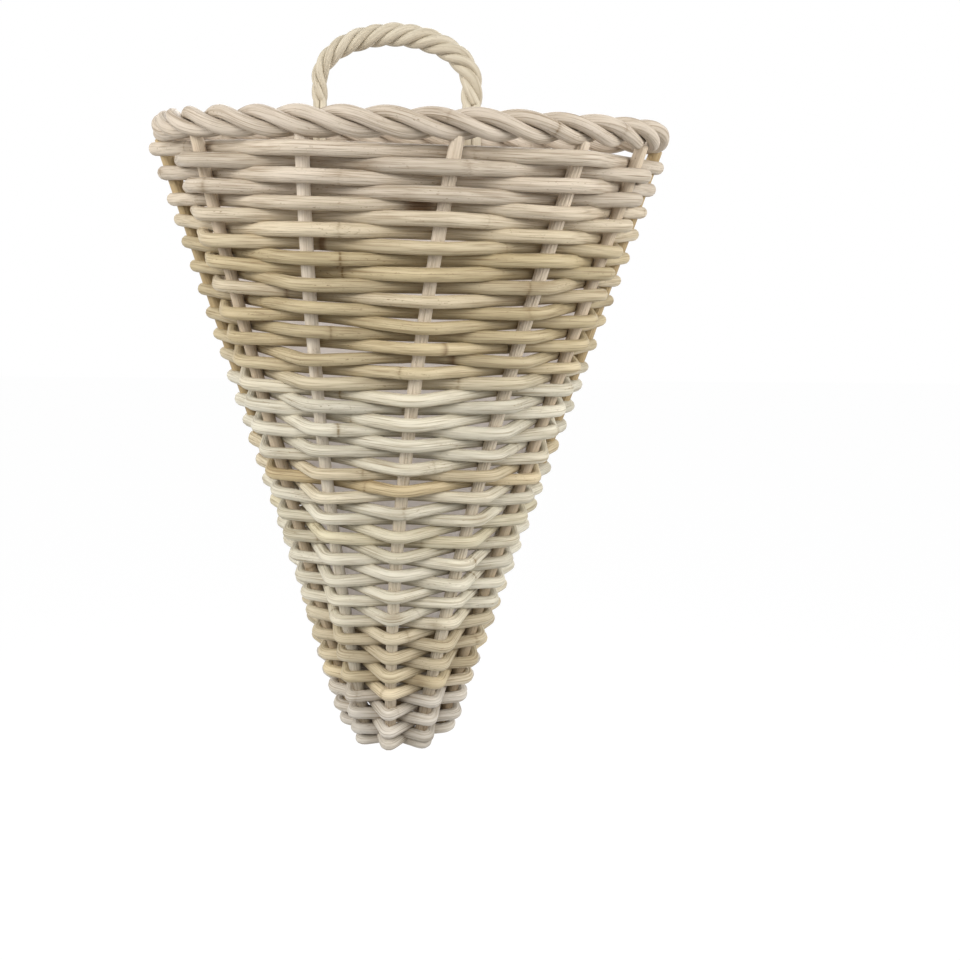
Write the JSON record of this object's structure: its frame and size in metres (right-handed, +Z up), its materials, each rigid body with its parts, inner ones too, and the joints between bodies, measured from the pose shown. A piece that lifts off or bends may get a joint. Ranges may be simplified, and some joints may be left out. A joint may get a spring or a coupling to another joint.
{
  "type": "rattan wall basket",
  "caption": "Tapered wall basket woven in round rattan cane over upright stakes, flat at the back, with a roped border, a twisted hoop to hang it by and a thin liner.",
  "frame": {"origin": "the point under the crown of the hoop that rests on the wall hook", "axes": "+Z up, +Y into the wall behind the basket, -Y out to the rounded front, +X to the right seen from the front"},
  "size_m": [0.3311, 0.1322, 0.463],
  "materials": {
    "stake_cane": "dry, fibrous, matt",
    "weaver_cane": "natural bark side, low sheen",
    "border_cane": "natural bark side, low sheen",
    "hoop_cane": "natural bark side, satin",
    "liner_plastic": "thin pale translucent film",
    "base_cane": "dry, matt"
  },
  "bodies": {
    "root": {"stake_right_corner": "stake_cane", "stake_front_5": "stake_cane", "stake_front_4": "stake_cane", "stake_front_3": "stake_cane", "stake_front_2": "stake_cane", "stake_front_1": "stake_cane", "stake_left_corner": "stake_cane", "stake_back_1": "stake_cane", "stake_back_2": "stake_cane", "weaver_01": "weaver_cane", "weaver_02": "weaver_cane", "weaver_03": "weaver_cane", "weaver_04": "weaver_cane", "weaver_05": "weaver_cane", "weaver_06": "weaver_cane", "weaver_07": "weaver_cane", "weaver_08": "weaver_cane", "weaver_09": "weaver_cane", "weaver_10": "weaver_cane", "weaver_11": "weaver_cane", "weaver_12": "weaver_cane", "weaver_13": "weaver_cane", "weaver_14": "weaver_cane", "weaver_15": "weaver_cane", "weaver_16": "weaver_cane", "border_cane_1": "border_cane", "border_cane_2": "border_cane", "border_cane_3": "border_cane", "hoop_cane_1": "hoop_cane", "hoop_cane_2": "hoop_cane", "hoop_cane_3": "hoop_cane", "hoop_cane_4": "hoop_cane", "liner": "liner_plastic", "base_coil": "base_cane", "base_stick_1": "base_cane", "base_stick_2": "base_cane", "base_stick_3": "base_cane"}
  },
  "joints": []
}
